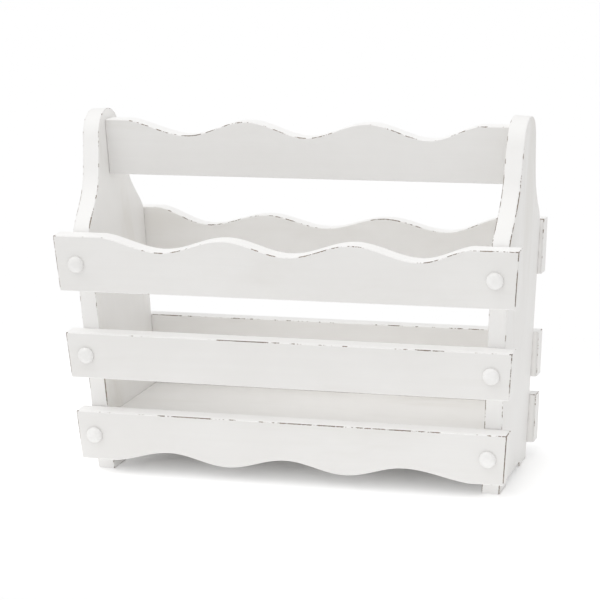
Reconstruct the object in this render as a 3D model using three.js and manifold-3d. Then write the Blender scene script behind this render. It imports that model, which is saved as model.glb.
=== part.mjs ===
// A painted wooden magazine rack: two bottle-shaped end panels, a wavy handle rail between
// their necks, three slats screwed across the front and three across the rear, and a floor board.
// Millimetres. X runs along the slats, -Y is the front, +Z is up, and the feet stand on z = 0.
import * as THREE from 'three';
import { mergeVertices } from 'three/addons/utils/BufferGeometryUtils.js';
import Module from 'manifold-3d';

// ---------------------------------------------------------------- driving dimensions
const DEG = Math.PI / 180;
const SPLAY = 3.0 * DEG;          // each end panel leans outwards
const FLARE = 2.5 * DEG;          // front and rear slats lean outwards
const PANEL_THICK = 17;           // end panels
const SLAT_THICK = 19;            // slats, handle rail
const FLOOR_THICK = 14;           // floor board
const GAP = 0.3;                  // joint line between neighbouring boards

const FOOT_HALF_SPAN = 202;       // centre to outer face of an end panel, at the feet
const FOOT_HALF_DEPTH = 63.5;     // centre to front edge of an end panel, at the feet
const CROWN_HEIGHT = 349;         // top of the end panels
const SHOULDER_HEIGHT = 234;      // where the panel starts to narrow into its neck
const NECK_HEIGHT = 298;          // where the neck is formed
const NECK_HALF = 34.5;
const CROWN_START = 321;
const CROWN_HALF = 29;
const FOOT_LENGTH = 34;
const FOOT_RECESS = 5;            // height of the shallow recess between the feet
const FOOT_CHAMFER = 2;

// Slat ends are cut on a line that leans outwards: half a slat's length, projected down to the
// floor, and what is added to it for each millimetre of height.
const FRONT_END = { atFloor: 209, slope: 0.0755 };
const REAR_END = { atFloor: 209.5, slope: 0.036 };
const BOTTOM_SLAT = { low: 16, high: 64.5, plug: 41 };
const MIDDLE_SLAT = { low: 98.5, high: 143.5, plug: 121.5 };
const TOP_SLAT = { low: 185, high: 239.5, plug: 212 };
const REAR_MIDDLE_DROP = 16;      // the rear middle slat is fixed a little lower

const RAIL_LOW = 286;
const RAIL_HIGH = 340;
// Wavy edges: from the left flat's end to the right flat's start, three troughs a pitch apart.
// The two crests between the troughs lie lower than the flats by the crest drop.
const FRONT_WAVE = { depth: 13.3, crest: 0, pitch: 126, centre: 7, left: -178, right: 181 };
const REAR_WAVE = { depth: 16.4, crest: 5, pitch: 123.5, centre: 4, left: -175, right: 181 };
const BOTTOM_WAVE = { depth: 10.6, crest: 0, pitch: 117, centre: -1.5, left: -174, right: 177 };
const RAIL_WAVE = { depth: 14.3, crest: 0, pitch: 121, centre: 3, left: -180, right: 172 };
const FLAT_MEETING = 0.85;        // part of a half wave that is left where it meets a flat
const WAVE_STEPS = 36;            // straight cuts that stand for one wavy edge

const FLOOR_TOP = 56;             // upper face of the floor board
const FLOOR_HALF_DEPTH = 64.4;

const PLUG_RADIUS = 8;            // mushroom cover buttons
const PLUG_DOME = 5.6;
const PLUG_STEM_RADIUS = 4.7;
const PLUG_STEM = 3.6;
const COUNTERBORE_RADIUS = 5;
const COUNTERBORE_DEPTH = 6.6;
const SCREW_LENGTH = 36;
const SCREW_RADIUS = 2;
const SCREW_HEAD_RADIUS = 4;
const SCREW_HEAD = 2.3;
const BORE_RADIUS = 2.35;         // hole for the screw, in the slat and in the panel edge
const DOWEL_RADIUS = 4;
const DOWEL_LENGTH = 30;
const DOWEL_BORE_RADIUS = 4.3;
const DOWEL_IN_PANEL = 10.5;
const RAIL_DOWEL_HEIGHTS = [301, 325];
const FLOOR_DOWEL_DEPTHS = [-42, 0, 42];

// ---------------------------------------------------------------- materials
const PAINT = { color: 0xe8e7e3, roughness: 0.55, metalness: 0 };
const PLUG_PAINT = { color: 0xecebe7, roughness: 0.45, metalness: 0 };
const STEEL = { color: 0xa9a69c, roughness: 0.35, metalness: 1 };
const BEECH = { color: 0xc9a878, roughness: 0.7, metalness: 0 };

// ---------------------------------------------------------------- solids
const wasm = await Module();
wasm.setup();

function toSolid(geometry) {
  const bare = geometry.clone();
  bare.deleteAttribute('normal');
  bare.deleteAttribute('uv');
  const merged = mergeVertices(bare, 1e-4);
  const index = merged.index.array;
  const triangles = [];
  for (let i = 0; i < index.length; i += 3) {
    const [a, b, c] = [index[i], index[i + 1], index[i + 2]];
    if (a !== b && b !== c && c !== a) triangles.push(a, b, c);
  }
  return new wasm.Manifold(new wasm.Mesh({
    numProp: 3,
    vertProperties: Float32Array.from(merged.attributes.position.array),
    triVerts: Uint32Array.from(triangles),
  }));
}

function toGeometry(solid) {
  const mesh = solid.getMesh();
  const geometry = new THREE.BufferGeometry();
  geometry.setAttribute('position', new THREE.BufferAttribute(mesh.vertProperties, 3));
  geometry.setIndex(new THREE.BufferAttribute(mesh.triVerts, 1));
  geometry.computeVertexNormals();
  return geometry;
}

function cutAll(geometry, tools) {
  let solid = toSolid(geometry);
  for (const tool of tools) solid = solid.subtract(toSolid(tool));
  return toGeometry(solid);
}

// A round tool or pin whose axis is Y, from y0 to y1.
function rodY(radius, y0, y1, sides = 16) {
  const rod = new THREE.CylinderGeometry(radius, radius, y1 - y0, sides);
  return rod.translate(0, (y0 + y1) / 2, 0);
}

// A board cut from an outline in X and Z, its thickness running from y = 0 to y = -thickness.
function boardXZ(shape, thickness) {
  const board = new THREE.ExtrudeGeometry(shape, { depth: thickness, bevelEnabled: false });
  return board.rotateX(Math.PI / 2);
}

// ---------------------------------------------------------------- wavy edges
// A cosine between the outer troughs, then a shortened half wave that runs into each flat at a
// slight corner. The depth is how far a trough is cut into the board; it is negative on a lower
// edge, where the cut goes up.
function waveEdge(x, level, depth, wave) {
  if (x <= wave.left || x >= wave.right) return level;
  const off = x - wave.centre;
  const beyond = Math.abs(off) - wave.pitch;
  if (beyond <= 0) {
    const dip = (1 + Math.cos((2 * Math.PI * off) / wave.pitch)) / 2;
    return level - wave.crest - (depth - wave.crest) * dip;
  }
  const reach = (off < 0 ? wave.centre - wave.left : wave.right - wave.centre) - wave.pitch;
  const share = (1 + Math.cos((Math.PI * FLAT_MEETING * beyond) / reach)) / 2;
  const rest = (1 + Math.cos(Math.PI * FLAT_MEETING)) / 2;
  return level - (depth * (share - rest)) / (1 - rest);
}

// Points along the wave, from right to left.
function wavePoints(level, depth, wave) {
  const points = [];
  for (let i = 0; i <= WAVE_STEPS; i += 1) {
    const x = wave.right + ((wave.left - wave.right) * i) / WAVE_STEPS;
    points.push([x, waveEdge(x, level, depth, wave)]);
  }
  return points;
}

// A board outline in X and Z: ends cut on the slope of half(z), its upper or lower edge wavy.
function boardShape(low, high, half, upperDepth = 0, lowerDepth = 0, wave = null) {
  const shape = new THREE.Shape();
  shape.moveTo(-half(low), low);
  if (lowerDepth) wavePoints(low, -lowerDepth, wave).reverse().forEach((p) => shape.lineTo(...p));
  shape.lineTo(half(low), low);
  shape.lineTo(half(high), high);
  if (upperDepth) wavePoints(high, upperDepth, wave).forEach((p) => shape.lineTo(...p));
  shape.lineTo(-half(high), high);
  shape.closePath();
  return shape;
}

// ---------------------------------------------------------------- end panel outline (Y, Z)
function panelShape() {
  const lean = Math.tan(FLARE);
  const half = (z) => FOOT_HALF_DEPTH + lean * z;
  const below = -2;
  const recess = FOOT_HALF_DEPTH - FOOT_LENGTH;
  const shape = new THREE.Shape();
  shape.moveTo(half(below) * -1, below);
  shape.lineTo(-recess - FOOT_CHAMFER, below);
  shape.lineTo(-recess - FOOT_CHAMFER, FOOT_RECESS - FOOT_CHAMFER);
  shape.lineTo(-recess, FOOT_RECESS);
  shape.lineTo(recess, FOOT_RECESS);
  shape.lineTo(recess + FOOT_CHAMFER, FOOT_RECESS - FOOT_CHAMFER);
  shape.lineTo(recess + FOOT_CHAMFER, below);
  shape.lineTo(half(below), below);
  shape.lineTo(half(SHOULDER_HEIGHT), SHOULDER_HEIGHT);
  shape.bezierCurveTo(74.5, 251, 40.5, 262, NECK_HALF, NECK_HEIGHT);
  shape.lineTo(CROWN_HALF, CROWN_START);
  const round = CROWN_HEIGHT / Math.cos(SPLAY);
  shape.bezierCurveTo(27.5, 338, 16, round, 0, round);
  shape.bezierCurveTo(-16, round, -27.5, 338, -CROWN_HALF, CROWN_START);
  shape.lineTo(-NECK_HALF, NECK_HEIGHT);
  shape.bezierCurveTo(-40.5, 262, -74.5, 251, -half(SHOULDER_HEIGHT), SHOULDER_HEIGHT);
  shape.closePath();
  return shape;
}

// ---------------------------------------------------------------- turned pieces
// Mushroom button: its stem fills the counterbore, its dome lies on the slat. Axis Y, dome at -Y.
function plugGeometry() {
  const profile = [new THREE.Vector2(0, PLUG_STEM), new THREE.Vector2(PLUG_STEM_RADIUS, PLUG_STEM)];
  profile.push(new THREE.Vector2(PLUG_STEM_RADIUS, 0));
  profile.push(new THREE.Vector2(PLUG_RADIUS - 0.3, 0));
  const steps = 4;
  for (let i = 0; i <= steps; i += 1) {
    const turn = (i / steps) * (Math.PI / 2);
    const radius = i === steps ? 0 : PLUG_RADIUS * Math.cos(turn) ** 0.8;
    profile.push(new THREE.Vector2(radius, -0.8 - (PLUG_DOME - 0.8) * Math.sin(turn)));
  }
  return new THREE.LatheGeometry(profile.reverse(), 16);
}

// Wood screw, axis Y, head at -Y with its flat underside at y = 0 and its tip at +Y.
function screwGeometry() {
  const shank = SCREW_LENGTH - SCREW_HEAD;
  const profile = [
    new THREE.Vector2(0, -SCREW_HEAD),
    new THREE.Vector2(SCREW_HEAD_RADIUS * 0.6, -SCREW_HEAD),
    new THREE.Vector2(SCREW_HEAD_RADIUS, -SCREW_HEAD * 0.35),
    new THREE.Vector2(SCREW_HEAD_RADIUS, 0),
    new THREE.Vector2(SCREW_RADIUS, 0),
    new THREE.Vector2(SCREW_RADIUS, shank - 7),
    new THREE.Vector2(0, shank),
  ];
  return new THREE.LatheGeometry(profile, 10);
}

// Fluted-end dowel, axis X, centred on its middle, with chamfered ends.
function dowelGeometry() {
  const half = DOWEL_LENGTH / 2;
  const profile = [
    new THREE.Vector2(0, -half),
    new THREE.Vector2(DOWEL_RADIUS - 0.8, -half),
    new THREE.Vector2(DOWEL_RADIUS, -half + 1.2),
    new THREE.Vector2(DOWEL_RADIUS, half - 1.2),
    new THREE.Vector2(DOWEL_RADIUS - 0.8, half),
    new THREE.Vector2(0, half),
  ];
  return new THREE.LatheGeometry(profile, 10).rotateZ(-Math.PI / 2);
}

// ---------------------------------------------------------------- scene graph
const rack = new THREE.Group();

function place(parent, name, geometry, look) {
  const mesh = new THREE.Mesh(geometry, new THREE.MeshStandardMaterial(look));
  mesh.name = name;
  parent.add(mesh);
  return mesh;
}

// A frame whose local Z runs up the slat plane and whose local -Y faces outwards.
function slatFrame(turn) {
  const side = new THREE.Group();
  side.rotation.z = turn;
  const plane = new THREE.Group();
  plane.position.y = -FOOT_HALF_DEPTH;
  plane.rotation.x = FLARE;
  side.add(plane);
  rack.add(side);
  return plane;
}

// A frame whose local X is square to the panel, with the panel's outer face at x = 0.
function panelFrame(turn) {
  const side = new THREE.Group();
  side.rotation.z = turn;
  const plane = new THREE.Group();
  plane.position.x = FOOT_HALF_SPAN;
  plane.rotation.y = SPLAY;
  side.add(plane);
  rack.add(side);
  return plane;
}

const frontFrame = slatFrame(0);
const rearFrame = slatFrame(Math.PI);
const rightFrame = panelFrame(0);
const leftFrame = panelFrame(Math.PI);
rack.updateMatrixWorld(true);

// Moves a tool drawn in one frame into another frame.
function between(geometry, from, to) {
  const move = to.matrixWorld.clone().invert().multiply(from.matrixWorld);
  return geometry.clone().applyMatrix4(move);
}

// Centre line of the end panel where a screw meets it, as x in the slat's own plane.
function screwX(height) {
  return FOOT_HALF_SPAN - PANEL_THICK / 2 + height * Math.cos(FLARE) * Math.tan(SPLAY);
}

// ---------------------------------------------------------------- slats, buttons and screws
const panelTools = [];

function addSlat(frame, sideName, levelName, level, shape) {
  const outer = -GAP - SLAT_THICK;
  const step = outer + COUNTERBORE_DEPTH;
  const tools = [];
  for (const hand of [-1, 1]) {
    const x = hand * screwX(level.plug);
    const at = (geometry, y = 0) => geometry.translate(x, y, level.plug);
    tools.push(at(rodY(COUNTERBORE_RADIUS, outer - 2, step, 20)));
    tools.push(at(rodY(BORE_RADIUS, outer - 1, 2, 12)));
    panelTools.push({ frame, geometry: at(rodY(BORE_RADIUS, -2, 27.5, 12)) });
    const facing = frame === frontFrame ? hand : -hand;
    const tag = `${sideName}_${levelName}_${facing < 0 ? 'left' : 'right'}`;
    const screw = place(frame, `screw_${tag}`, screwGeometry(), STEEL);
    screw.position.set(x, step - 0.2, level.plug);
    const plug = place(frame, `plug_${tag}`, plugGeometry(), PLUG_PAINT);
    plug.position.set(x, outer - 0.2, level.plug);
  }
  const board = boardXZ(shape, SLAT_THICK).translate(0, -GAP, 0);
  place(frame, `${sideName}_${levelName}_slat`, cutAll(board, tools), PAINT);
}

const rearMiddle = {
  low: MIDDLE_SLAT.low - REAR_MIDDLE_DROP,
  high: MIDDLE_SLAT.high - REAR_MIDDLE_DROP,
  plug: MIDDLE_SLAT.plug - REAR_MIDDLE_DROP,
};

function addSide(frame, sideName, middle, end, topWave) {
  const half = (height) => end.atFloor + end.slope * height;
  const { low, high } = BOTTOM_SLAT;
  const top = boardShape(TOP_SLAT.low, TOP_SLAT.high, half, topWave.depth, 0, topWave);
  const plain = boardShape(middle.low, middle.high, half);
  const bottom = boardShape(low, high, half, 0, BOTTOM_WAVE.depth, BOTTOM_WAVE);
  addSlat(frame, sideName, 'top', TOP_SLAT, top);
  addSlat(frame, sideName, 'middle', middle, plain);
  addSlat(frame, sideName, 'bottom', BOTTOM_SLAT, bottom);
}

addSide(frontFrame, 'front', MIDDLE_SLAT, FRONT_END, FRONT_WAVE);
addSide(rearFrame, 'rear', rearMiddle, REAR_END, REAR_WAVE);

// ---------------------------------------------------------------- dowels and their bores
const railTools = [];
const floorTools = [];

function addDowels(frame, handName) {
  const dowelX = -PANEL_THICK + DOWEL_IN_PANEL - DOWEL_LENGTH / 2;
  const bore = (from, to, y, z) => {
    const rod = new THREE.CylinderGeometry(DOWEL_BORE_RADIUS, DOWEL_BORE_RADIUS, to - from, 14);
    return rod.rotateZ(Math.PI / 2).translate((from + to) / 2, y, z);
  };
  const tipIn = dowelX - DOWEL_LENGTH / 2 - GAP;
  const tipOut = dowelX + DOWEL_LENGTH / 2 + GAP;
  const put = (name, y, z, boardTools) => {
    const dowel = place(frame, name, dowelGeometry(), BEECH);
    dowel.position.set(dowelX, y, z);
    panelTools.push({ frame, geometry: bore(-PANEL_THICK - 2, tipOut, y, z) });
    boardTools.push(between(bore(tipIn, -PANEL_THICK + 3, y, z), frame, rack));
  };
  RAIL_DOWEL_HEIGHTS.forEach((height, i) => {
    put(`dowel_rail_${handName}_${i ? 'upper' : 'lower'}`, 0, height, railTools);
  });
  const handed = frame === rightFrame ? 1 : -1;
  FLOOR_DOWEL_DEPTHS.forEach((depth) => {
    const seat = depth * handed < 0 ? 'front' : depth === 0 ? 'centre' : 'rear';
    const height = (FLOOR_TOP - FLOOR_THICK / 2) / Math.cos(SPLAY) - PANEL_THICK * Math.tan(SPLAY);
    put(`dowel_floor_${handName}_${seat}`, depth, height, floorTools);
  });
}

addDowels(rightFrame, 'right');
addDowels(leftFrame, 'left');

// ---------------------------------------------------------------- end panels
function addPanel(frame, name) {
  const blank = new THREE.ExtrudeGeometry(panelShape(), {
    depth: PANEL_THICK, bevelEnabled: false, curveSegments: 10,
  });
  blank.rotateX(Math.PI / 2).rotateZ(Math.PI / 2).translate(-PANEL_THICK, 0, 0);
  const belowFloor = new THREE.BoxGeometry(900, 900, 40).translate(0, 0, -20);
  const tools = [between(belowFloor, rack, frame)];
  for (const tool of panelTools) {
    const nearThisPanel = between(tool.geometry, tool.frame, frame);
    nearThisPanel.computeBoundingBox();
    if (nearThisPanel.boundingBox.min.x > -60) tools.push(nearThisPanel);
  }
  place(frame, name, cutAll(blank, tools), PAINT);
}

addPanel(leftFrame, 'left_end_panel');
addPanel(rightFrame, 'right_end_panel');

// ---------------------------------------------------------------- handle rail and floor board
// Half length of a board that fits between the panels, at a given height.
const fitHalf = (z) => FOOT_HALF_SPAN - PANEL_THICK / Math.cos(SPLAY) + z * Math.tan(SPLAY) - GAP;

const railShape = boardShape(RAIL_LOW, RAIL_HIGH, fitHalf, RAIL_WAVE.depth, 0, RAIL_WAVE);
const rail = boardXZ(railShape, SLAT_THICK).translate(0, SLAT_THICK / 2, 0);
place(rack, 'handle_rail', cutAll(rail, railTools), PAINT);

const floorShape = boardShape(FLOOR_TOP - FLOOR_THICK, FLOOR_TOP, fitHalf);
const floorBoard = boardXZ(floorShape, 2 * FLOOR_HALF_DEPTH).translate(0, FLOOR_HALF_DEPTH, 0);
place(rack, 'floor_board', cutAll(floorBoard, floorTools), PAINT);

export default rack;
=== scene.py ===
# %% [markdown]
# # A painted wooden magazine rack
# The rack is two bottle-shaped end panels, a wavy handle rail between their necks, three slats
# across the front, three across the rear and a floor board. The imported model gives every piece
# its place. This script gives the boards their eased edges, buttons and worn white paint.

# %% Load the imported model
import math

import bmesh
import bpy
from mathutils import Matrix, Quaternion, Vector


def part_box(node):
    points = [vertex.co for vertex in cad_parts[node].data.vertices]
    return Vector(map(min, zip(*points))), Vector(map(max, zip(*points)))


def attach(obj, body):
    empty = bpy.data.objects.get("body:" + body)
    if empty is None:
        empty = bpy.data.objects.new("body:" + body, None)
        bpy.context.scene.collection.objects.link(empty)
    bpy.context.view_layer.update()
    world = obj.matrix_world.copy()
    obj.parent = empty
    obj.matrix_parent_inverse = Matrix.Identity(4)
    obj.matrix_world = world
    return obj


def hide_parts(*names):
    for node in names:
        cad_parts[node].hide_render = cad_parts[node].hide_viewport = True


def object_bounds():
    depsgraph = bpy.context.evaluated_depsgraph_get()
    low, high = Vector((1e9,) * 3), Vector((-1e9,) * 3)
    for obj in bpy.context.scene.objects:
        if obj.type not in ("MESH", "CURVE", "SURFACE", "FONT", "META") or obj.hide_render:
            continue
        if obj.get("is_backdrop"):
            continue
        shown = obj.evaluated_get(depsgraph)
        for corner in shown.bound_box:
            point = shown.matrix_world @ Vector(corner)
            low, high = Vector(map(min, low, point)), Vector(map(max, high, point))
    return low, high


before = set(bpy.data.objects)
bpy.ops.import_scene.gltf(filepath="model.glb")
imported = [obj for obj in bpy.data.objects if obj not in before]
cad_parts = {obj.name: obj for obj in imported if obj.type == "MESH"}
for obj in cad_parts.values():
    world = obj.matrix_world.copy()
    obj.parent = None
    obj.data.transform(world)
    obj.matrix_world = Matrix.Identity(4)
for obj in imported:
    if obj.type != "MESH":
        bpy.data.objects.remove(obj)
scene = bpy.context.scene
CAD_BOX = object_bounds()
print("CAD box, mm:", [round(1000 * v) for v in CAD_BOX[1] - CAD_BOX[0]])

# %% [markdown]
# ## Sizes
# The boards are flat stock: 17 mm for the end panels and 19 mm for the slats and the rail.
# The panels lean outwards, and so do the long sides, so the rack is wider at its top. Each
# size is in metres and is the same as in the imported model, so that a board can be made again
# with finer edges in exactly the same place.

# %% Sizes of the rack
MM = 0.001
SPLAY = math.radians(3.0)
FLARE = math.radians(2.5)
PANEL_THICK = 17 * MM
SLAT_THICK = 19 * MM
FLOOR_THICK = 14 * MM
GAP = 0.3 * MM
FOOT_HALF_SPAN = 202 * MM
FOOT_HALF_DEPTH = 63.5 * MM
ARRIS = 1.0 * MM
LEVELS = {
    "bottom": (16 * MM, 64.5 * MM),
    "middle": (98.5 * MM, 143.5 * MM),
    "top": (185 * MM, 239.5 * MM),
}
REAR_MIDDLE_DROP = 16 * MM
RAIL_LEVEL = (286 * MM, 340 * MM)
FLOOR_TOP = 56 * MM
FLOOR_HALF_DEPTH = 64.4 * MM
print("slat levels:", LEVELS)

# %% [markdown]
# ## Camera
# The rack is seen from the front, a little from the right and from just above, through a long
# lens, so the lines hardly converge. The camera leans a degree, as a hand-held one does.

# %% Camera
SENSOR_WIDTH = 36.0
LENS = 131.37
SIGHT_REACH = 50.0
CAMERA_PLACE = Vector((0.6086, -1.9984, 0.6144))
CAMERA_AZIMUTH = math.radians(17.174)
CAMERA_ELEVATION = math.radians(12.134)
CAMERA_LEAN = math.radians(-1.23)
camera_data = bpy.data.cameras.new("camera")
camera_data.sensor_width = SENSOR_WIDTH
camera_data.lens = LENS
camera_data.clip_end = SIGHT_REACH
camera = bpy.data.objects.new("camera", camera_data)
scene.collection.objects.link(camera)
look = Vector((
    -math.sin(CAMERA_AZIMUTH) * math.cos(CAMERA_ELEVATION),
    math.cos(CAMERA_AZIMUTH) * math.cos(CAMERA_ELEVATION),
    -math.sin(CAMERA_ELEVATION),
))
camera.rotation_mode = "QUATERNION"
camera.location = CAMERA_PLACE
camera.rotation_quaternion = look.to_track_quat("-Z", "Y") @ Quaternion((0, 0, 1), CAMERA_LEAN)
scene.camera = camera
print("lens, mm:", round(camera_data.lens, 1))

# %% [markdown]
# ## Helpers for node trees
# Node trees are long to write out by hand. These few helpers add a node, set or link each of
# its inputs, and hand back its first output, so that a tree reads like a formula.

# %% Node helpers
def add_node(tree, kind, inputs=None, output=0, **settings):
    node = tree.nodes.new(kind)
    for key, value in settings.items():
        setattr(node, key, value)
    for key, value in (inputs or {}).items():
        if isinstance(value, bpy.types.NodeSocket):
            tree.links.new(value, node.inputs[key])
        else:
            node.inputs[key].default_value = value
    return node.outputs[output]


def calc(tree, operation, *values, clamp=False):
    kind = "ShaderNodeMath"
    return add_node(tree, kind, dict(enumerate(values)), operation=operation, use_clamp=clamp)


def split(tree, vector):
    node = add_node(tree, "ShaderNodeSeparateXYZ", {0: vector}).node
    return node.outputs[0], node.outputs[1], node.outputs[2]


def join(tree, x, y, z):
    return add_node(tree, "ShaderNodeCombineXYZ", {0: x, 1: y, 2: z})


def new_geometry_tree(name, sizes):
    """A tree with one input for each size: a number, None for a material, or 'object'."""
    tree = bpy.data.node_groups.new(name, "GeometryNodeTree")
    tree.interface.new_socket("Geometry", in_out="INPUT", socket_type="NodeSocketGeometry")
    for label, value in sizes.items():
        kind = "NodeSocketMaterial" if value is None else "NodeSocketFloat"
        kind = "NodeSocketInt" if isinstance(value, int) else kind
        kind = "NodeSocketObject" if value == "object" else kind
        socket = tree.interface.new_socket(label, in_out="INPUT", socket_type=kind)
        if isinstance(value, (int, float)):
            socket.default_value = value
    tree.interface.new_socket("Geometry", in_out="OUTPUT", socket_type="NodeSocketGeometry")
    inputs = tree.nodes.new("NodeGroupInput")
    return tree, {socket.name: socket for socket in inputs.outputs}


def grow(name, tree, values, start=None):
    """Runs a tree on a new object, with named inputs, and returns the result as a plain mesh."""
    seed = bpy.data.objects.new(name + "_seed", start or bpy.data.meshes.new(name + "_seed"))
    scene.collection.objects.link(seed)
    modifier = seed.modifiers.new("grow", "NODES")
    modifier.node_group = tree
    for item in tree.interface.items_tree:
        if item.item_type == "SOCKET" and item.in_out == "INPUT" and item.name in values:
            modifier[item.identifier] = values[item.name]
    depsgraph = bpy.context.evaluated_depsgraph_get()
    mesh = bpy.data.meshes.new_from_object(seed.evaluated_get(depsgraph), depsgraph=depsgraph)
    bpy.data.objects.remove(seed)
    piece = bpy.data.objects.new(name, mesh)
    scene.collection.objects.link(piece)
    return piece

# %% [markdown]
# ## Worn white paint
# The rack is brushed with off-white paint, then rubbed back, so the paint has chipped along the
# arrises and dark wood shows there in thin broken lines. A picture of paint would not fit these
# boards, so the finish is made from noise. Every board carries its distance from each of its
# faces as an attribute. The second smallest distance says how far a point is from an arris,
# and paint is missing where that distance is under a limit that varies from place to place.
# The narrow edges of the slats and the rail are painted whiter than their faces, a painted
# light, and those of the end panels duller, a painted shade. The lower arrises are rubbed less
# than the upper ones. The outer faces and the slats' ends are painted a little greyer than the
# rest, a painted shade that leaves the inside of the rack the lighter.

# %% Paint finish
PAINT_PALE = (0.904, 0.893, 0.876, 1)
PAINT_SHADE = (0.874, 0.861, 0.841, 1)
# Painted light and shade: a whiter tone for the narrow edges of the slats and rail, a duller one for
# the end panels' edges.
EDGE_PAINTED_LIGHT = (0.935, 0.929, 0.920, 1)
PANEL_EDGE_PAINTED_SHADE = (0.868, 0.861, 0.850, 1)
# Painted shade: the outer faces and the slats' ends are greyed so the inside of the rack reads
# lighter.
OUTER_PAINTED_SHADE = (0.872, 0.872, 0.872, 1)
STAIN = (0.70, 0.67, 0.61, 1)
STAIN_SHARE = {"X": 0.22, "Z": 0.42}
BARE_DARK = (0.120, 0.098, 0.080, 1)
BARE_WARM = (0.270, 0.215, 0.170, 1)
SCUFF = (0.62, 0.59, 0.56, 1)
WEAR_LIMIT = {"X": 0.775, "Z": 0.740}
WEAR_DEEPEST = 0.85 * MM
WEAR_REACH = 7 * MM
UNDERSIDE_RELIEF = 0.18
END_WEAR = 0.15
RAGGED = 0.6 * MM
STROKE_SHARE = 0.22
EDGE_LIGHTING_SHARE = 0.8
SCUFF_SHARE = 0.35
# Each band fades in from its first distance to its second.
NARROW_BOARD = (50 * MM, 30 * MM)
ON_EDGE = (1.2 * MM, 0.3 * MM)
ON_OUTER_FACE = (3.0 * MM, 0.8 * MM)
ON_OUTER_END = (5 * MM, 1 * MM)
NEAR_UNDERSIDE = (5 * MM, 1 * MM)
CHIPPED = (0.0, 0.18 * MM)
SCUFFED = (-0.7 * MM, 0.1 * MM)


def noise(tree, coords, scale, detail=2.0, rough=0.5, distortion=0.0):
    inputs = {"Vector": coords, "Scale": scale, "Detail": detail, "Roughness": rough}
    inputs["Distortion"] = distortion
    return add_node(tree, "ShaderNodeTexNoise", inputs)


def stretch(tree, coords, scale):
    return add_node(tree, "ShaderNodeMapping", {"Vector": coords, "Scale": scale})


def ramp(tree, value, low, high):
    inputs = {"Value": value, "From Min": low, "From Max": high}
    return add_node(tree, "ShaderNodeMapRange", inputs, interpolation_type="SMOOTHSTEP")


def blend_colour(tree, factor, first, second, mode="MIX"):
    inputs = {0: factor, 6: first, 7: second}
    return add_node(tree, "ShaderNodeMix", inputs, 2, data_type="RGBA", blend_type=mode)


def board_distances(tree):
    """From the distances that every board carries: how near a point is to each part of it."""
    inset = add_node(tree, "ShaderNodeAttribute", output=1, attribute_name="inset")
    sides = add_node(tree, "ShaderNodeAttribute", output=1, attribute_name="sides")
    below_top, above_low, to_end = split(tree, inset)
    to_face, to_back, _ = split(tree, sides)
    across = calc(tree, "MINIMUM", to_face, to_back)
    rim = calc(tree, "MINIMUM", below_top, above_low)
    first = calc(tree, "MAXIMUM", across, rim)
    second = calc(tree, "MAXIMUM", rim, to_end)
    third = calc(tree, "MAXIMUM", across, to_end)
    arris = calc(tree, "MINIMUM", calc(tree, "MINIMUM", first, second), third)
    is_thin = ramp(tree, calc(tree, "ADD", to_face, to_back), *NARROW_BOARD)
    on_edge = calc(tree, "MULTIPLY", ramp(tree, rim, *ON_EDGE), is_thin)
    is_outer = ramp(tree, calc(tree, "MINIMUM", to_back, to_end), *ON_OUTER_FACE)
    outer_end = ramp(tree, calc(tree, "MAXIMUM", to_back, to_end), *ON_OUTER_END)
    return arris, on_edge, is_outer, above_low, outer_end


def brushed_paint(tree, place, grain):
    """Brush marks: the colour of sound paint, and the fine and the broad marks it is made from."""
    along = "XYZ".index(grain)

    def marks(fine, long, detail, distortion=0.0):
        scale = [fine] * 3
        scale[along] = long
        return noise(tree, stretch(tree, place, scale), 1.0, detail, 0.6, distortion)

    bristles = marks(640, 10, 3.0)
    strokes = marks(150, 5, 3.0, 0.4)
    cloud = noise(tree, place, 9.0, 4.0, 0.6)
    clouded = calc(tree, "MULTIPLY", cloud, 1 - STROKE_SHARE)
    tone = calc(tree, "MULTIPLY_ADD", strokes, STROKE_SHARE, clouded)
    colour = blend_colour(tree, ramp(tree, tone, 0.34, 0.66), PAINT_SHADE, PAINT_PALE)
    lines = calc(tree, "MULTIPLY_ADD", ramp(tree, bristles, 0.30, 0.50), -0.20, 0.20)
    colour = blend_colour(tree, lines, colour, PAINT_SHADE)
    rubbed = [22.0] * 3
    rubbed[along] = 5.0
    patches = noise(tree, stretch(tree, place, rubbed), 1.0, 4.0, 0.6, 0.6)
    stained = calc(tree, "MULTIPLY", ramp(tree, patches, 0.50, 0.78), STAIN_SHARE[grain])
    colour = blend_colour(tree, stained, colour, STAIN)
    return colour, bristles, strokes


def wear_depth(tree, place, grain, arris, above_low, outer_end):
    """How far a point is inside the bare strip along an arris: above zero where paint is gone."""
    ragged = calc(tree, "MULTIPLY_ADD", noise(tree, place, 850.0, 3.0), 2 * RAGGED, -RAGGED)
    worn_place = noise(tree, place, 13.0, 2.0, 0.5)
    chip_place = noise(tree, place, 125.0, 5.0, 0.62)
    chance = calc(tree, "MULTIPLY", chip_place, 0.85)
    chance = calc(tree, "MULTIPLY_ADD", worn_place, 0.75, chance)
    relief = calc(tree, "MULTIPLY", ramp(tree, above_low, *NEAR_UNDERSIDE), UNDERSIDE_RELIEF)
    chance = calc(tree, "SUBTRACT", calc(tree, "SUBTRACT", chance, WEAR_LIMIT[grain]), relief)
    chance = calc(tree, "MULTIPLY_ADD", outer_end, END_WEAR, chance)
    reach = calc(tree, "MULTIPLY", chance, WEAR_REACH, clamp=True)
    reach = calc(tree, "MINIMUM", reach, WEAR_DEEPEST)
    return calc(tree, "SUBTRACT", reach, calc(tree, "ADD", arris, ragged)), chip_place


def add_bump(tree, shader, height, strength):
    inputs = {"Height": height, "Distance": 1.0, "Strength": strength}
    bump = add_node(tree, "ShaderNodeBump", inputs)
    tree.links.new(bump, shader.inputs["Normal"])


def new_material(name):
    material = bpy.data.materials.new(name)
    material.use_nodes = True
    tree = material.node_tree
    place = add_node(tree, "ShaderNodeTexCoord", output=3)
    return material, tree, tree.nodes["Principled BSDF"], place


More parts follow.
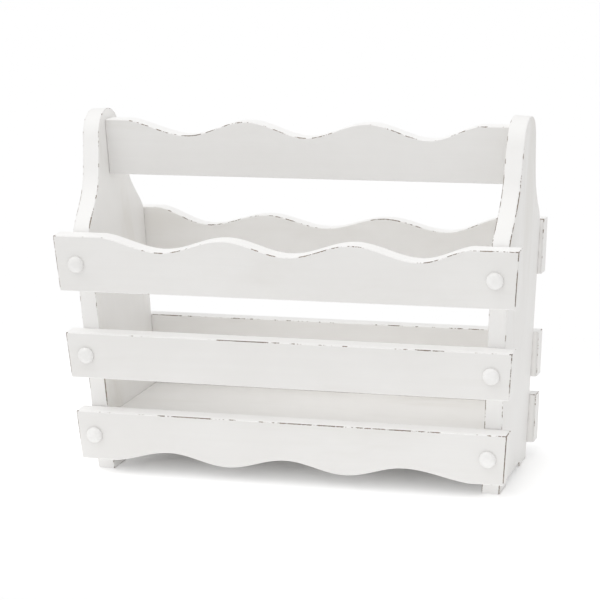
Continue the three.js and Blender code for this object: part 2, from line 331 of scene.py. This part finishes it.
def paint_finish(name, grain):
    """White paint brushed along the grain, 'X' or 'Z', and chipped along the arrises."""
    material, tree, shader, place = new_material(name)
    arris, on_edge, is_outer, above_low, outer_end = board_distances(tree)
    colour, bristles, strokes = brushed_paint(tree, place, grain)
    # Painted shade: the outer faces and the slats' ends are multiplied greyer than the inside.
    colour = blend_colour(tree, is_outer, colour, OUTER_PAINTED_SHADE, "MULTIPLY")
    # Painted light on the narrow edges of the slats and rail, painted shade on those of the end
    # panels.
    edge_lighting = PANEL_EDGE_PAINTED_SHADE if grain == "Z" else EDGE_PAINTED_LIGHT
    colour = blend_colour(tree, calc(tree, "MULTIPLY", on_edge, EDGE_LIGHTING_SHARE), colour, edge_lighting)
    inside, chip_place = wear_depth(tree, place, grain, arris, above_low, outer_end)
    chipped = ramp(tree, inside, *CHIPPED)
    scuffed = calc(tree, "MULTIPLY", ramp(tree, inside, *SCUFFED), SCUFF_SHARE)
    wood = blend_colour(tree, ramp(tree, chip_place, 0.35, 0.7), BARE_DARK, BARE_WARM)
    colour = blend_colour(tree, scuffed, colour, SCUFF)
    colour = blend_colour(tree, chipped, colour, wood)
    tree.links.new(colour, shader.inputs["Base Color"])

    gloss = calc(tree, "MULTIPLY_ADD", strokes, 0.14, 0.40)
    gloss = calc(tree, "MULTIPLY_ADD", chipped, 0.35, gloss)
    tree.links.new(gloss, shader.inputs["Roughness"])
    shader.inputs["Specular IOR Level"].default_value = 0.35

    height = calc(tree, "MULTIPLY_ADD", bristles, 0.00006, calc(tree, "MULTIPLY", strokes, 0.00009))
    height = calc(tree, "MULTIPLY_ADD", chipped, -0.00015, height)
    add_bump(tree, shader, height, 0.8)
    return material


PAINT = {axis: paint_finish("paint_along_" + axis.lower(), axis) for axis in "XZ"}
print("paint finishes:", [material.name for material in PAINT.values()])

# %% [markdown]
# ## A wavy board, grown by a rule
# The slats, the handle rail and the floor board are straight stock with their ends cut on a
# slope. On four slats and the rail, one long edge is sawn to three waves. One Geometry Nodes
# tree makes them all, and its waves start out with no depth. It sweeps a
# rectangle with eased corners along the length, then moves each point: up or down by the wave,
# sideways by the slope, and inwards in the last few columns so the ends are eased too.

# %% The wave and the board tree
BOARD_SIZES = {
    "Low": 0.0, "High": 0.05, "Half at Floor": 0.2, "End Slope": 0.0, "Thickness": 0.015,
    "Arris": 0.0016, "Upper Cut": 0.0, "Lower Cut": 0.0, "Wave Centre": 0.0, "Wave Pitch": 0.12,
    "Wave Left": -0.18, "Wave Right": 0.18, "Crest Share": 0.0, "Hidden End": 0.0,
    "Columns": 200, "Material": None,
}
FLAT_MEETING = 0.85
EASE_COLUMNS = 4


def wave_share(tree, x, size):
    """0 on the flats and 1 at the bottom of a trough, for a board whose length lies along x."""
    off = calc(tree, "SUBTRACT", x, size["Wave Centre"])
    beyond = calc(tree, "SUBTRACT", calc(tree, "ABSOLUTE", off), size["Wave Pitch"])
    turn = calc(tree, "DIVIDE", calc(tree, "MULTIPLY", off, 2 * math.pi), size["Wave Pitch"])
    dip = calc(tree, "MULTIPLY_ADD", calc(tree, "COSINE", turn), 0.5, 0.5)
    crest = size["Crest Share"]
    inner = calc(tree, "MULTIPLY_ADD", calc(tree, "SUBTRACT", 1.0, crest), dip, crest)
    left = calc(tree, "SUBTRACT", size["Wave Centre"], size["Wave Left"])
    right = calc(tree, "SUBTRACT", size["Wave Right"], size["Wave Centre"])
    is_left = calc(tree, "LESS_THAN", off, 0.0)
    reach = calc(tree, "MULTIPLY_ADD", is_left, calc(tree, "SUBTRACT", left, right), right)
    reach = calc(tree, "SUBTRACT", reach, size["Wave Pitch"])
    outer_turn = calc(tree, "MULTIPLY", beyond, math.pi * FLAT_MEETING)
    outer_turn = calc(tree, "DIVIDE", outer_turn, reach)
    rest = (1 + math.cos(math.pi * FLAT_MEETING)) / 2
    outer = calc(tree, "MULTIPLY_ADD", calc(tree, "COSINE", outer_turn), 0.5, 0.5 - rest)
    outer = calc(tree, "DIVIDE", outer, 1 - rest)
    is_outer = calc(tree, "GREATER_THAN", beyond, 0.0)
    share = calc(tree, "MULTIPLY_ADD", is_outer, calc(tree, "SUBTRACT", outer, inner), inner)
    past_left = calc(tree, "GREATER_THAN", x, size["Wave Left"])
    past_right = calc(tree, "LESS_THAN", x, size["Wave Right"])
    return calc(tree, "MULTIPLY", share, calc(tree, "MULTIPLY", past_left, past_right))


def board_tree():
    tree, size = new_geometry_tree("wavy_board", BOARD_SIZES)
    ends = {"Start": (-1, 0, 0), "End": (1, 0, 0)}
    line = add_node(tree, "GeometryNodeCurvePrimitiveLine", ends)
    line = add_node(tree, "GeometryNodeResampleCurve", {"Curve": line, "Count": size["Columns"]})
    column = add_node(tree, "GeometryNodeSplineParameter", output=2)
    capture = tree.nodes.new("GeometryNodeCaptureAttribute")
    capture.capture_items.new("FLOAT", "Column")
    tree.links.new(line, capture.inputs["Geometry"])
    tree.links.new(column, capture.inputs["Column"])
    column = capture.outputs["Column"]
    height = calc(tree, "SUBTRACT", size["High"], size["Low"])
    kind = "GeometryNodeCurvePrimitiveQuadrilateral"
    section = add_node(tree, kind, {"Width": size["Thickness"], "Height": height})
    inputs = {"Curve": section, "Count": 4, "Radius": size["Arris"]}
    section = add_node(tree, "GeometryNodeFilletCurve", inputs, mode="POLY")
    inputs = {"Curve": capture.outputs["Geometry"], "Profile Curve": section, "Fill Caps": True}
    bar = add_node(tree, "GeometryNodeCurveToMesh", inputs)

    # Where this point is: columns from the nearer end, and the eased section there.
    _, a, b = split(tree, add_node(tree, "GeometryNodeInputPosition"))
    last = calc(tree, "SUBTRACT", size["Columns"], 1.0)
    from_end = calc(tree, "MINIMUM", column, calc(tree, "SUBTRACT", last, column))
    turn = calc(tree, "DIVIDE", from_end, float(EASE_COLUMNS), clamp=True)
    turn = calc(tree, "MULTIPLY", turn, math.pi / 2)
    arris = size["Arris"]
    pull_in = calc(tree, "MULTIPLY", arris, calc(tree, "SUBTRACT", 1.0, calc(tree, "SINE", turn)))
    ease = calc(tree, "SUBTRACT", 1.0, calc(tree, "COSINE", turn))
    pull_back = calc(tree, "MULTIPLY", arris, ease)
    half_thick = calc(tree, "MULTIPLY", size["Thickness"], 0.5)
    half_height = calc(tree, "MULTIPLY", height, 0.5)
    thinner = calc(tree, "MULTIPLY", calc(tree, "DIVIDE", a, half_thick), pull_in)
    a = calc(tree, "SUBTRACT", a, thinner)
    lower = calc(tree, "MULTIPLY", calc(tree, "DIVIDE", b, half_height), pull_in)
    b = calc(tree, "SUBTRACT", b, lower)

    # Along the length: eased columns at each end, even columns between them.
    is_upper = calc(tree, "GREATER_THAN", b, 0.0)
    level = calc(tree, "MULTIPLY_ADD", is_upper, height, size["Low"])
    half = calc(tree, "MULTIPLY_ADD", level, size["End Slope"], size["Half at Floor"])
    straight = calc(tree, "SUBTRACT", half, arris)
    inner_last = calc(tree, "SUBTRACT", last, 2.0 * EASE_COLUMNS)
    step = calc(tree, "SUBTRACT", column, float(EASE_COLUMNS))
    even = calc(tree, "MULTIPLY_ADD", calc(tree, "DIVIDE", step, inner_last), 2.0, -1.0)
    side = calc(tree, "SIGN", calc(tree, "SUBTRACT", column, calc(tree, "MULTIPLY", last, 0.5)))
    in_end = calc(tree, "LESS_THAN", from_end, float(EASE_COLUMNS))
    end_x = calc(tree, "MULTIPLY", side, calc(tree, "SUBTRACT", half, pull_back))
    even_x = calc(tree, "MULTIPLY", even, straight)
    x = calc(tree, "MULTIPLY_ADD", in_end, calc(tree, "SUBTRACT", end_x, even_x), even_x)

    # The wave lifts or drops one long edge.
    share = wave_share(tree, x, size)
    top = calc(tree, "SUBTRACT", size["High"], calc(tree, "MULTIPLY", share, size["Upper Cut"]))
    low = calc(tree, "MULTIPLY_ADD", share, size["Lower Cut"], size["Low"])
    upper_z = calc(tree, "ADD", calc(tree, "SUBTRACT", b, half_height), top)
    lower_z = calc(tree, "ADD", calc(tree, "ADD", b, half_height), low)
    z = calc(tree, "MULTIPLY_ADD", is_upper, calc(tree, "SUBTRACT", upper_z, lower_z), lower_z)
    place = join(tree, x, a, z)

    # The distances that the paint reads, kept from before the points move.
    below_top = calc(tree, "SUBTRACT", top, z)
    above_low = calc(tree, "SUBTRACT", z, low)
    to_end = calc(tree, "SUBTRACT", half, calc(tree, "ABSOLUTE", x))
    to_end = calc(tree, "ADD", to_end, size["Hidden End"])
    kind = "GeometryNodeStoreNamedAttribute"
    inset = join(tree, below_top, above_low, to_end)
    sides = join(tree, calc(tree, "SUBTRACT", half_thick, a), calc(tree, "ADD", half_thick, a), 0.0)
    moved = add_node(tree, kind, {"Geometry": bar, "Name": "inset", "Value": inset},
                     data_type="FLOAT_VECTOR", domain="POINT")
    moved = add_node(tree, kind, {"Geometry": moved, "Name": "sides", "Value": sides},
                     data_type="FLOAT_VECTOR", domain="POINT")
    moved = add_node(tree, "GeometryNodeSetPosition", {"Geometry": moved, "Position": place})
    moved = add_node(tree, "GeometryNodeRealizeInstances", {"Geometry": moved})
    inputs = {"Geometry": moved, "Material": size["Material"]}
    moved = add_node(tree, "GeometryNodeSetMaterial", inputs)
    out = tree.nodes.new("NodeGroupOutput")
    tree.links.new(moved, out.inputs[0])
    return tree


BOARD = board_tree()
print("board tree:", len(BOARD.nodes), "nodes")

# %% [markdown]
# ## Placing a board
# Slats are drawn flat, in the plane of their own side of the rack, then that plane is leaned
# out and set at the front or the rear. The lean goes into the mesh, so the object itself stays
# at the origin. Weighted normals keep the flat faces flat and let only the arrises turn.

# %% Place and finish helpers
SAME_POINT = 0.001 * MM


def finish_mesh(piece, move=None):
    mesh = piece.data
    if move is not None:
        mesh.transform(move)
    work = bmesh.new()
    work.from_mesh(mesh)
    bmesh.ops.remove_doubles(work, verts=work.verts, dist=SAME_POINT)
    bmesh.ops.dissolve_degenerate(work, edges=work.edges, dist=SAME_POINT)
    bmesh.ops.recalc_face_normals(work, faces=work.faces)
    for face in work.faces:
        face.smooth = True
    work.to_mesh(mesh)
    work.free()
    modifier = piece.modifiers.new("flat faces", "WEIGHTED_NORMAL")
    modifier.mode = "FACE_AREA"
    modifier.weight = 100
    depsgraph = bpy.context.evaluated_depsgraph_get()
    result = bpy.data.meshes.new_from_object(piece.evaluated_get(depsgraph), depsgraph=depsgraph)
    piece.modifiers.clear()
    piece.data = result
    return piece


def compare(piece, nodes):
    """How far the new piece's box is from the box of the model's own pieces, in millimetres."""
    low = Vector([min(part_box(n)[0][i] for n in nodes) for i in range(3)])
    high = Vector([max(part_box(n)[1][i] for n in nodes) for i in range(3)])
    mine_low = Vector([min(v.co[i] for v in piece.data.vertices) for i in range(3)])
    mine_high = Vector([max(v.co[i] for v in piece.data.vertices) for i in range(3)])
    out = [round(1000 * (mine_low[i] - low[i]), 2) for i in range(3)]
    out += [round(1000 * (mine_high[i] - high[i]), 2) for i in range(3)]
    print(f"{piece.name}: {len(piece.data.polygons)} faces, box differs by {out} mm")


def adopt(piece, slot, *nodes):
    """The piece rides on the rack's one body and stands for these nodes of the model."""
    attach(piece, "root")
    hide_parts(*nodes)
    compare(piece, nodes)
    return piece


def side_plane(is_rear):
    """From the plane of a side's slats, outer face at the front, to its place on the rack."""
    lean = Matrix.Rotation(FLARE, 4, "X")
    out = Matrix.Translation((0, -FOOT_HALF_DEPTH, 0))
    turn = Matrix.Rotation(math.pi if is_rear else 0.0, 4, "Z")
    inner_face = Matrix.Translation((0, -GAP - SLAT_THICK / 2, 0))
    return turn @ out @ lean @ inner_face

# %% [markdown]
# ## Slats
# Three slats to a side. The top slat's upper edge is wavy, the bottom slat's lower edge is wavy
# the other way up, and the middle slat is straight. The rear is the front turned round, with
# ends and a top wave of its own, and its middle slat is 16 mm lower.

# %% Slats
SLAT = {"Thickness": SLAT_THICK, "Arris": ARRIS}
FRONT_END = {"Half at Floor": 209 * MM, "End Slope": 0.0755}
REAR_END = {"Half at Floor": 209.5 * MM, "End Slope": 0.036}
FRONT_WAVE = {"Upper Cut": 13.3 * MM, "Wave Pitch": 126 * MM, "Wave Centre": 7 * MM,
              "Wave Left": -178 * MM, "Wave Right": 181 * MM}
REAR_WAVE = {"Upper Cut": 16.4 * MM, "Wave Pitch": 123.5 * MM, "Wave Centre": 4 * MM,
             "Wave Left": -175 * MM, "Wave Right": 181 * MM, "Crest Share": 5 / 16.4}
BOTTOM_WAVE = {"Lower Cut": 10.6 * MM, "Wave Pitch": 117 * MM, "Wave Centre": -1.5 * MM,
               "Wave Left": -174 * MM, "Wave Right": 177 * MM}
WAVES = {"middle": {"Columns": 60}, "bottom": BOTTOM_WAVE}
SIDES = {"front": {**SLAT, **FRONT_END}, "rear": {**SLAT, **REAR_END}}

for side, top_wave in (("front", FRONT_WAVE), ("rear", REAR_WAVE)):
    for level, (low, high) in LEVELS.items():
        drop = REAR_MIDDLE_DROP if (side, level) == ("rear", "middle") else 0.0
        sizes = {**SIDES[side], **WAVES.get(level, top_wave)}
        sizes.update({"Low": low - drop, "High": high - drop})
        node = f"{side}_{level}_slat"
        slat = grow("painted_" + node, BOARD, {**sizes, "Material": PAINT["X"]})
        finish_mesh(slat, side_plane(side == "rear"))
        adopt(slat, "paint", node)

# %% [markdown]
# ## Handle rail and floor board
# Both fit between the panels, so their ends slope with the panels. The rail is sawn to the same
# kind of wave as the top slats. The floor board is a plain board that lies flat. Paint has run
# into the joints, so both boards reach almost to the panels and only a hairline shows. The long
# edges of the floor board are planed to the lean of the slats, and reach them in the same way.

# %% Rail and floor board
PAINTED_SEAM = 0.06 * MM
FIT = {"Half at Floor": FOOT_HALF_SPAN - PANEL_THICK / math.cos(SPLAY) - PAINTED_SEAM,
       "End Slope": math.tan(SPLAY), "Arris": ARRIS, "Hidden End": 50 * MM}
RAIL_WAVE = {"Upper Cut": 14.3 * MM, "Wave Pitch": 121 * MM, "Wave Centre": 3 * MM,
             "Wave Left": -180 * MM, "Wave Right": 172 * MM}
FLOOR_LOW_REACH = 65.5 * MM
FLOOR_FLARE = 0.65 * MM
rail_sizes = {**FIT, **RAIL_WAVE, "Thickness": SLAT_THICK}
rail_sizes.update({"Low": RAIL_LEVEL[0], "High": RAIL_LEVEL[1]})
rail = grow("painted_handle_rail", BOARD, {**rail_sizes, "Material": PAINT["X"]})
adopt(finish_mesh(rail), "paint", "handle_rail")

floor_sizes = {**FIT, "Thickness": 2 * FLOOR_HALF_DEPTH, "Columns": 40}
floor_sizes.update({"Low": FLOOR_TOP - FLOOR_THICK, "High": FLOOR_TOP})
floor_board = grow("painted_floor_board", BOARD, {**floor_sizes, "Material": PAINT["X"]})
for corner in floor_board.data.vertices:
    rise = 1 + (corner.co.z - FLOOR_TOP) / FLOOR_THICK
    corner.co.y *= (FLOOR_LOW_REACH + rise * FLOOR_FLARE) / FLOOR_HALF_DEPTH
adopt(finish_mesh(floor_board), "paint", "floor_board")

# %% [markdown]
# ## End panels
# Each panel is a bottle shape sawn from one board: straight sides that widen upwards, a curved
# shoulder, a neck and a rounded crown, with a shallow recess that leaves two feet. No simple
# rule makes that outline, so it is drawn as a list of points and two curves. Rings of points,
# each a little further in from the outline, then build the eased arris and carry the distance
# that the paint reads.

# %% Panel outline
SHOULDER = 234 * MM
NECK = (34.5 * MM, 298 * MM)
CROWN_START = (29 * MM, 321 * MM)
CROWN_TOP = 349 * MM / math.cos(SPLAY)
RECESS_HALF = 29.5 * MM
RECESS_HIGH = 5 * MM
RECESS_CHAMFER = 2 * MM


def curve_points(p0, p1, p2, p3, count):
    """Points of a cubic curve, the first left out."""
    out = []
    for i in range(1, count + 1):
        t = i / count
        weights = ((1 - t) ** 3, 3 * t * (1 - t) ** 2, 3 * t * t * (1 - t), t ** 3)
        pairs = list(zip(weights, (p0, p1, p2, p3)))
        out.append(tuple(sum(w * p[k] for w, p in pairs) for k in (0, 1)))
    return out


def panel_outline():
    """Half the outline from the middle of the recess to the crown, then its mirror image."""
    def edge(z):
        return FOOT_HALF_DEPTH + math.tan(FLARE) * z
    foot_in = RECESS_HALF + RECESS_CHAMFER
    corners = [(RECESS_HALF, RECESS_HIGH), (foot_in, RECESS_HIGH - RECESS_CHAMFER)]
    corners += [(foot_in, 0.0), (edge(0), 0.0)]
    side = [(edge(SHOULDER * k / 12), SHOULDER * k / 12) for k in range(1, 13)]
    shoulder = curve_points(side[-1], (74.5 * MM, 251 * MM), (40.5 * MM, 262 * MM), NECK, 28)
    neck = [tuple(NECK[k] + (CROWN_START[k] - NECK[k]) * i / 4 for k in (0, 1)) for i in range(1, 5)]
    crown = [(27.5 * MM, 338 * MM), (16 * MM, CROWN_TOP), (0.0, CROWN_TOP)]
    crown = curve_points(CROWN_START, *crown, 20)
    right = [(p, k in (2, 3)) for k, p in enumerate(corners)]
    right += [(p, False) for p in side + shoulder + neck + crown]
    left = [((-y, z), sharp) for (y, z), sharp in reversed(right[:-1])]
    return right + left


print("panel outline:", len(panel_outline()), "points")

# %% [markdown]
# The corners of the feet are eased as well, so each sharp corner of the outline becomes a small
# arc. When a ring is further in than the arc's radius, the arc has shrunk to one point.

# %% Panel solid
CORNER = 2.2 * MM
RING_STEPS = 4
FACE_RINGS = (7 * MM, 4 * MM)
FOOT_FADE = 30 * MM
FAR_OFF = 1.0


def ring(outline, inset):
    """The outline moved inwards by inset, with its sharp corners eased."""
    points = []
    count = len(outline)
    for i, ((y, z), sharp) in enumerate(outline):
        before, after = outline[i - 1][0], outline[(i + 1) % count][0]
        into = Vector((y - before[0], z - before[1])).normalized()
        away = Vector((after[0] - y, after[1] - z)).normalized()
        in_normal = Vector((-into.y, into.x))
        out_normal = Vector((-away.y, away.x))
        middle = (in_normal + out_normal).normalized()
        stretch_by = 1 / max(0.3, middle.dot(in_normal))
        if not sharp:
            points.append(Vector((y, z)) + middle * inset * stretch_by)
            continue
        centre = Vector((y, z)) + middle * CORNER * stretch_by
        for k in range(6):
            turn = in_normal.lerp(out_normal, k / 5).normalized()
            if inset < CORNER:
                points.append(centre - turn * (CORNER - inset))
            else:
                points.append(Vector((y, z)) + middle * inset * stretch_by)
    return points


def ease_profile():
    """(inset, distance from the face) along one eased arris, from the flat face to the side."""
    turns = [k / RING_STEPS * math.pi / 2 for k in range(RING_STEPS + 1)]
    return [(ARRIS * (1 - math.sin(t)), ARRIS * (1 - math.cos(t))) for t in turns]


def make_panel(name, is_left):
    outline = panel_outline()
    rows = [(inset, 0.0) for inset in FACE_RINGS] + ease_profile()
    rows += [(inset, PANEL_THICK - deep) for inset, deep in reversed(rows)]
    work = bmesh.new()
    inset_layer = work.verts.layers.float_vector.new("inset")
    sides_layer = work.verts.layers.float_vector.new("sides")
    rings = []
    for inset, deep in rows:
        verts = []
        for point in ring(outline, inset):
            x = deep - PANEL_THICK
            shear = x * math.tan(SPLAY) * max(0.0, 1 - point.y / FOOT_FADE)
            vert = work.verts.new((x, point.x, point.y + shear))
            vert[inset_layer] = (inset, FAR_OFF, FAR_OFF)
            vert[sides_layer] = (deep, PANEL_THICK - deep, 0.0)
            verts.append(vert)
        rings.append(verts)
    for first, second in zip(rings, rings[1:]):
        for i in range(len(first)):
            k = (i + 1) % len(first)
            work.faces.new((first[i], first[k], second[k], second[i]))
    work.faces.new(list(reversed(rings[0])))
    work.faces.new(rings[-1])
    mesh = bpy.data.meshes.new(name)
    work.to_mesh(mesh)
    work.free()
    mesh.materials.append(PAINT["Z"])
    panel = bpy.data.objects.new(name, mesh)
    scene.collection.objects.link(panel)
    turn = Matrix.Rotation(math.pi if is_left else 0.0, 4, "Z")
    place = turn @ Matrix.Translation((FOOT_HALF_SPAN, 0, 0)) @ Matrix.Rotation(SPLAY, 4, "Y")
    return finish_mesh(panel, place)


for hand in ("left", "right"):
    panel = make_panel(f"painted_{hand}_end_panel", hand == "left")
    adopt(panel, "paint", f"{hand}_end_panel")

# %% [markdown]
# ## Cover buttons
# A mushroom-headed button hides each screw: twelve of them, all alike. One is turned on a
# profile, and Geometry Nodes sets it on a point at every slat end, facing outwards. The points
# come from the middles of the model's own buttons, and a fixed seed gives each button a turn of
# its own.

# %% Button finish and shape
BUTTON_PALE = (0.850, 0.843, 0.832, 1)
BUTTON_SHADE = (0.805, 0.797, 0.783, 1)
BUTTON_RADIUS = 8 * MM
BUTTON_DOME = 5.6 * MM
STEM_RADIUS = 4.7 * MM
STEM_LENGTH = 3.6 * MM
TURN_STEPS = 40
TURN_SEED = 3


def button_finish():
    material, tree, shader, place = new_material("button_paint")
    cloud = noise(tree, place, 90.0, 3.0, 0.6)
    colour = blend_colour(tree, ramp(tree, cloud, 0.35, 0.65), BUTTON_SHADE, BUTTON_PALE)
    tree.links.new(colour, shader.inputs["Base Color"])
    tree.links.new(calc(tree, "MULTIPLY_ADD", cloud, 0.15, 0.30), shader.inputs["Roughness"])
    add_bump(tree, shader, calc(tree, "MULTIPLY", noise(tree, place, 500.0, 2.0), 0.00008), 0.7)
    return material


BUTTON_PAINT = button_finish()


def button_profile():
    """(radius, height) from the end of the stem to the top of the dome."""
    points = [(0.0, -STEM_LENGTH), (STEM_RADIUS - 0.4 * MM, -STEM_LENGTH)]
    points += [(STEM_RADIUS, 0.4 * MM - STEM_LENGTH), (STEM_RADIUS, 0.0)]
    points += [(BUTTON_RADIUS - 0.5 * MM, 0.0), (BUTTON_RADIUS - 0.15 * MM, 0.25 * MM)]
    for k in range(13):
        turn = k / 12 * math.pi / 2
        radius = BUTTON_RADIUS * math.cos(turn) ** 0.8 if k < 12 else 0.0
        points.append((radius, 0.8 * MM + (BUTTON_DOME - 0.8 * MM) * math.sin(turn)))
    return points


def turned(name, profile, steps):
    """A closed solid turned on the Z axis from a profile that starts and ends on the axis."""
    work = bmesh.new()
    rings = []
    for radius, height in profile:
        if radius == 0.0:
            rings.append([work.verts.new((0, 0, height))])
            continue
        angles = [2 * math.pi * k / steps for k in range(steps)]
        circle = [(radius * math.cos(a), radius * math.sin(a), height) for a in angles]
        rings.append([work.verts.new(point) for point in circle])
    for first, second in zip(rings, rings[1:]):
        for i in range(steps):
            k = (i + 1) % steps
            corners = [first[i % len(first)], first[k % len(first)]]
            corners += [second[k % len(second)], second[i % len(second)]]
            work.faces.new(list(dict.fromkeys(corners)))
    bmesh.ops.recalc_face_normals(work, faces=work.faces)
    mesh = bpy.data.meshes.new(name)
    work.to_mesh(mesh)
    work.free()
    piece = bpy.data.objects.new(name, mesh)
    scene.collection.objects.link(piece)
    return piece


button = turned("one_button", button_profile(), TURN_STEPS)
print("one button:", len(button.data.polygons), "faces")

# %% Buttons set on their points
def scatter_tree():
    sizes = {"Button": "object", "Turn Seed": TURN_SEED, "Material": None}
    tree, size = new_geometry_tree("set_on_points", sizes)
    kind = "GeometryNodeInputNamedAttribute"
    outward = add_node(tree, kind, {"Name": "outward"}, data_type="FLOAT_VECTOR")
    facing = add_node(tree, "FunctionNodeAlignRotationToVector", {"Vector": outward}, axis="Z")
    inputs = {2: 0.0, 3: 2 * math.pi, "Seed": size["Turn Seed"]}
    spin = add_node(tree, "FunctionNodeRandomValue", inputs, 1, data_type="FLOAT")
    spin = join(tree, 0.0, 0.0, spin)
    info = add_node(tree, "GeometryNodeObjectInfo", {"Object": size["Button"]}, output=4)
    inputs = {"Points": size["Geometry"], "Instance": info, "Rotation": facing}
    placed = add_node(tree, "GeometryNodeInstanceOnPoints", inputs)
    placed = add_node(tree, "GeometryNodeRotateInstances", {"Instances": placed, "Rotation": spin})
    placed = add_node(tree, "GeometryNodeRealizeInstances", {"Geometry": placed})
    inputs = {"Geometry": placed, "Material": size["Material"]}
    placed = add_node(tree, "GeometryNodeSetMaterial", inputs)
    out = tree.nodes.new("NodeGroupOutput")
    tree.links.new(placed, out.inputs[0])
    return tree


def button_points():
    """One point where each button's dome meets its slat, with the direction it faces."""
    button_nodes = sorted(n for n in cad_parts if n.startswith("plug_"))
    places, facings = [], []
    for node in button_nodes:
        low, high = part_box(node)
        rear = "rear" in node
        outward = Vector((0, -math.cos(FLARE), -math.sin(FLARE)))
        if rear:
            outward.y = -outward.y
        middle = (low + high) / 2
        places.append(middle + outward * (STEM_LENGTH - BUTTON_DOME) / 2)
        facings.append(outward)
    mesh = bpy.data.meshes.new("button_points")
    mesh.from_pydata([tuple(p) for p in places], [], [])
    layer = mesh.attributes.new("outward", "FLOAT_VECTOR", "POINT")
    for item, facing in zip(layer.data, facings):
        item.vector = facing
    return mesh, button_nodes


points, button_nodes = button_points()
values = {"Button": button, "Turn Seed": TURN_SEED, "Material": BUTTON_PAINT}
buttons = grow("cover_buttons", scatter_tree(), values, points)
bpy.data.objects.remove(button)
finish_mesh(buttons)
adopt(buttons, "button_paint", *button_nodes)

# %% [markdown]
# ## Screws and dowels
# These are sealed inside the boards. The model's own solids already have the right shape, so
# they only need their metal and their wood.

# %% Hidden fastenings
def plain_finish(name, first, second, scale, metallic, rough):
    material, tree, shader, place = new_material(name)
    grain = noise(tree, stretch(tree, place, scale), 1.0, 4.0, 0.6)
    colour = blend_colour(tree, ramp(tree, grain, 0.3, 0.7), first, second)
    tree.links.new(colour, shader.inputs["Base Color"])
    tree.links.new(calc(tree, "MULTIPLY_ADD", grain, 0.2, rough - 0.1), shader.inputs["Roughness"])
    add_bump(tree, shader, calc(tree, "MULTIPLY", grain, 0.0001), 0.5)
    shader.inputs["Metallic"].default_value = metallic
    return material


BEECH_TONES = ((0.50, 0.33, 0.18, 1), (0.62, 0.44, 0.27, 1))
ZINC_TONES = ((0.50, 0.49, 0.46, 1), (0.66, 0.65, 0.62, 1))
BEECH = plain_finish("dowel_beech", *BEECH_TONES, (20, 700, 700), 0.0, 0.65)
ZINC = plain_finish("screw_zinc", *ZINC_TONES, (300, 900, 900), 1.0, 0.35)
for node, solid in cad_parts.items():
    if node.startswith(("dowel_", "screw_")):
        finish = BEECH if node.startswith("dowel_") else ZINC
        solid.data.materials.clear()
        solid.data.materials.append(finish)
print("fastenings finished")

# %% [markdown]
# ## Floor and light
# A pale plain floor under an even white sky, with one very broad lamp high in front on the
# left, so upper faces are the brightest, the inside of the rack stays light and each button
# has a soft shade below it. The floor glows: it gives off a little light of its own, and a
# painted pool of light close around the rack that fades out underneath it, so that the
# shadow stays under the rack.

# %% Floor and light
FLOOR_REACH = 14.0
FLOOR_TONE = (0.93, 0.93, 0.93, 1)
UNDER_GLOW = 0.008
OPEN_GLOW = 0.01
NEAR_GLOW = 0.24
GLOW_MIDDLE = (15 * MM, 30 * MM)
GLOW_HALF = (215 * MM, 100 * MM)
GLOW_FADE = (400 * MM, 0.0)
SHADOW_FADE = (-70 * MM, 5 * MM)
SKY_STRENGTH = 0.80
LAMP_FROM = (-0.35, -0.30, 1.0)
LAMP_SPREAD = math.radians(60)
LAMP_STRENGTH = 0.92


def painted_floor_glow(tree, place):
    """Painted glow on the floor: little under the rack, a pool of it close around the rack, and less
    further out.
    """
    x, y, _ = split(tree, place)
    x = calc(tree, "ABSOLUTE", calc(tree, "SUBTRACT", x, GLOW_MIDDLE[0]))
    y = calc(tree, "ABSOLUTE", calc(tree, "SUBTRACT", y, GLOW_MIDDLE[1]))
    beside = calc(tree, "SUBTRACT", x, GLOW_HALF[0])
    beyond = calc(tree, "MAXIMUM", beside, calc(tree, "SUBTRACT", y, GLOW_HALF[1]))
    glow = calc(tree, "MULTIPLY_ADD", ramp(tree, beyond, *GLOW_FADE), NEAR_GLOW, OPEN_GLOW)
    is_open = ramp(tree, beyond, *SHADOW_FADE)
    return calc(tree, "MULTIPLY_ADD", is_open, glow, UNDER_GLOW)


def make_floor():
    mesh = bpy.data.meshes.new("studio_floor")
    corners = [(-1, -1), (1, -1), (1, 1), (-1, 1)]
    points = [(FLOOR_REACH * x, FLOOR_REACH * y, 0.0) for x, y in corners]
    mesh.from_pydata(points, [], [(0, 1, 2, 3)])
    floor = bpy.data.objects.new("studio_floor", mesh)
    scene.collection.objects.link(floor)
    material, tree, shader, place = new_material("studio_white")
    shader.inputs["Base Color"].default_value = FLOOR_TONE
    shader.inputs["Roughness"].default_value = 0.9
    shader.inputs["Emission Color"].default_value = (1.0, 1.0, 1.0, 1)
    # The floor's emission is painted light, brightest close around the rack.
    tree.links.new(painted_floor_glow(tree, place), shader.inputs["Emission Strength"])
    mesh.materials.append(material)
    floor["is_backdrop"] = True


def broad_lamp(name, comes_from, spread, strength):
    data = bpy.data.lights.new(name, "SUN")
    data.angle = spread
    data.energy = strength
    lamp = bpy.data.objects.new(name, data)
    scene.collection.objects.link(lamp)
    lamp.rotation_euler = (-Vector(comes_from)).to_track_quat("-Z", "Y").to_euler()


make_floor()
world = bpy.data.worlds.new("white sky")
world.use_nodes = True
world.node_tree.nodes["Background"].inputs[0].default_value = (1.0, 1.0, 1.0, 1)
world.node_tree.nodes["Background"].inputs[1].default_value = SKY_STRENGTH
scene.world = world
broad_lamp("high front lamp", LAMP_FROM, LAMP_SPREAD, LAMP_STRENGTH)
scene.view_settings.view_transform = "Standard"
scene.view_settings.look = "None"

# %% [markdown]
# ## The size of the result
# The box of the new boards is measured and printed.

# %% Finish
low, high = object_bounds()
sizes = {"cad": [list(CAD_BOX[0]), list(CAD_BOX[1])], "visual": [list(low), list(high)]}
print("visual box, mm:", [round(1000 * v, 1) for v in high - low])
